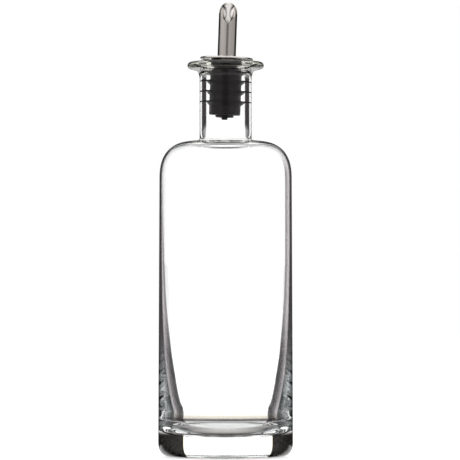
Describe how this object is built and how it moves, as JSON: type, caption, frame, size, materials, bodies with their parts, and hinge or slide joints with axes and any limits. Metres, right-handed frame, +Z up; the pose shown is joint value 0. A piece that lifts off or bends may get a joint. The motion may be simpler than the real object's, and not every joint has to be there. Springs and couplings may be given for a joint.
{
  "type": "oil dispenser bottle",
  "caption": "Clear glass oil bottle with a heavy base, slim neck and wide lip, closed by a finned rubber stopper that carries a steel pouring spout with a slanted mouth",
  "frame": {"origin": "centre of the flat base, on the surface the bottle stands on", "axes": "+Z up along the bottle's axis; the spout's mouth faces -Y and the pourer leans towards +X"},
  "size_m": [0.074, 0.074, 0.2506],
  "materials": {
    "clear_glass": "clear, fire polished, no tint but a trace of green in the thick edges",
    "black_rubber": "matte moulded rubber",
    "polished_steel": "drawn and polished stainless steel"
  },
  "bodies": {
    "bottle": {"bottle": "clear_glass"},
    "stopper": {"stopper": "black_rubber"},
    "spout": {"spout_tube": "polished_steel", "collar_disc": "polished_steel", "air_tube": "polished_steel"}
  },
  "joints": [
    {"name": "pourer_lift", "type": "slide", "parent": "bottle", "child": "stopper", "axis": [0, 0, 1], "range_m": [0, 0.045]},
    {"name": "spout_turn", "type": "hinge", "parent": "stopper", "child": "spout", "pos_m": [0, 0, 0.20386], "axis": [0.0349, 0, 0.9994], "continuous": true}
  ]
}
